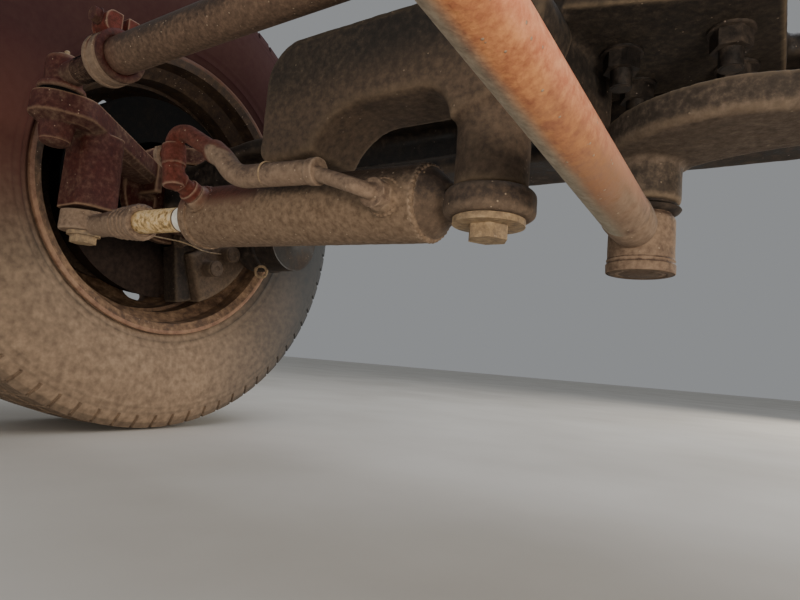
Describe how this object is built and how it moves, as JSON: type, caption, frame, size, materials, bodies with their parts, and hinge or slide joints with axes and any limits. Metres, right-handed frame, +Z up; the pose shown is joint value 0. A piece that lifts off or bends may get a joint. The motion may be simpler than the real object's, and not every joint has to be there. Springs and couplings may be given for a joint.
{
  "type": "steered truck axle with wheels",
  "caption": "Steered front axle of a road sweeper: forged beam, swivelling knuckles with disc brakes and wheels, tie rod, steering cylinder and drag link.",
  "frame": {"origin": "middle of the axle at the height of the spring seats, the centre of the outer seat bolt pattern", "axes": "+X across the vehicle towards the drag link's side, -Y towards the tie rod and steering cylinder, +Z up"},
  "size_m": [2.316, 1.4686, 0.9974],
  "materials": {
    "forged_steel": "dusty black chassis paint on a forging",
    "cast_iron": "brown dust and light rust on a rough casting",
    "plain_steel": "dull zinc under dust",
    "red_paint": "red overspray under dust",
    "black_paint": "satin black enamel, dusty",
    "wheel_paint": "worn enamel with a rusty lip",
    "tyre": "matt rubber with road dust",
    "dusty_paint": "thick brown road dust over paint",
    "chrome_rod": "hard chrome, slightly dirty"
  },
  "bodies": {
    "axle": {"axle_beam": "forged_steel", "anchor_casting": "cast_iron", "bracket_bolts": "plain_steel", "anchor_bolt": "plain_steel", "kingpin_left": "plain_steel", "kingpin_right": "plain_steel"},
    "knuckle_left": {"knuckle_left": "red_paint", "steering_arm_left": "red_paint", "brake_carrier_left": "cast_iron", "brake_caliper_left": "cast_iron", "brake_chamber_left": "black_paint", "dust_shield_left": "black_paint"},
    "knuckle_right": {"knuckle_right": "red_paint", "steering_arm_right": "red_paint", "brake_carrier_right": "cast_iron", "brake_caliper_right": "cast_iron", "brake_chamber_right": "black_paint", "dust_shield_right": "black_paint", "drag_link_arm": "red_paint"},
    "wheel_left": {"hub_left": "cast_iron", "brake_disc_left": "cast_iron", "rim_left": "wheel_paint", "wheel_nuts_left": "plain_steel", "tyre_left": "tyre"},
    "wheel_right": {"hub_right": "cast_iron", "brake_disc_right": "cast_iron", "rim_right": "wheel_paint", "wheel_nuts_right": "plain_steel", "tyre_right": "tyre"},
    "tie_rod": {"tie_rod_tube": "dusty_paint", "tie_rod_end_left": "dusty_paint", "tie_rod_end_right": "dusty_paint", "tie_rod_clamp_left": "dusty_paint", "tie_rod_clamp_right": "dusty_paint"},
    "cylinder": {"cylinder_barrel": "dusty_paint", "barrel_eye": "dusty_paint", "cylinder_pipe": "dusty_paint"},
    "rod": {"piston_rod": "chrome_rod", "rod_eye": "dusty_paint", "rod_bolt": "plain_steel"},
    "drag_link": {"drag_link_tube": "dusty_paint", "drag_link_front_end": "dusty_paint", "drag_link_rear_end": "dusty_paint"}
  },
  "joints": [
    {"name": "steer_left", "type": "hinge", "parent": "axle", "child": "knuckle_left", "pos_m": [-0.79, 0, -0.093], "axis": [0, 0, 1], "range_deg": [-32, 32]},
    {"name": "steer_right", "type": "hinge", "parent": "axle", "child": "knuckle_right", "pos_m": [0.79, 0, -0.093], "axis": [0, 0, 1], "range_deg": [-32.5, 32.5]},
    {"name": "wheel_left_spin", "type": "hinge", "parent": "knuckle_left", "child": "wheel_left", "pos_m": [-0.948, 0, -0.093], "axis": [1, 0, 0], "continuous": true},
    {"name": "wheel_right_spin", "type": "hinge", "parent": "knuckle_right", "child": "wheel_right", "pos_m": [0.948, 0, -0.093], "axis": [1, 0, 0], "continuous": true},
    {"name": "tie_rod_swing", "type": "hinge", "parent": "knuckle_left", "child": "tie_rod", "pos_m": [-0.674, -0.336, -0.016], "axis": [0, 0, 1], "range_deg": [-37.2, 37.2]},
    {"name": "cylinder_swing", "type": "hinge", "parent": "axle", "child": "cylinder", "pos_m": [0.038, -0.29, -0.257], "axis": [0, 0, 1], "range_deg": [-5, 5]},
    {"name": "rod_slide", "type": "slide", "parent": "cylinder", "child": "rod", "axis": [-0.9987, 0.0381, 0.0341], "range_m": [-0.132, 0.132]},
    {"name": "drag_link_swing", "type": "hinge", "parent": "knuckle_right", "child": "drag_link", "pos_m": [0.148, -0.185, -0.274], "axis": [0, 0, 1], "range_deg": [-33, 33]}
  ],
  "couplings": [
    {"joint": "steer_right", "follows": "steer_left", "ratio": 1},
    {"joint": "tie_rod_swing", "follows": "steer_left", "ratio": -1.159},
    {"joint": "cylinder_swing", "follows": "steer_left", "ratio": -0.13},
    {"joint": "rod_slide", "follows": "steer_left", "m_per_rad": -0.234},
    {"joint": "drag_link_swing", "follows": "steer_left", "ratio": -1}
  ]
}
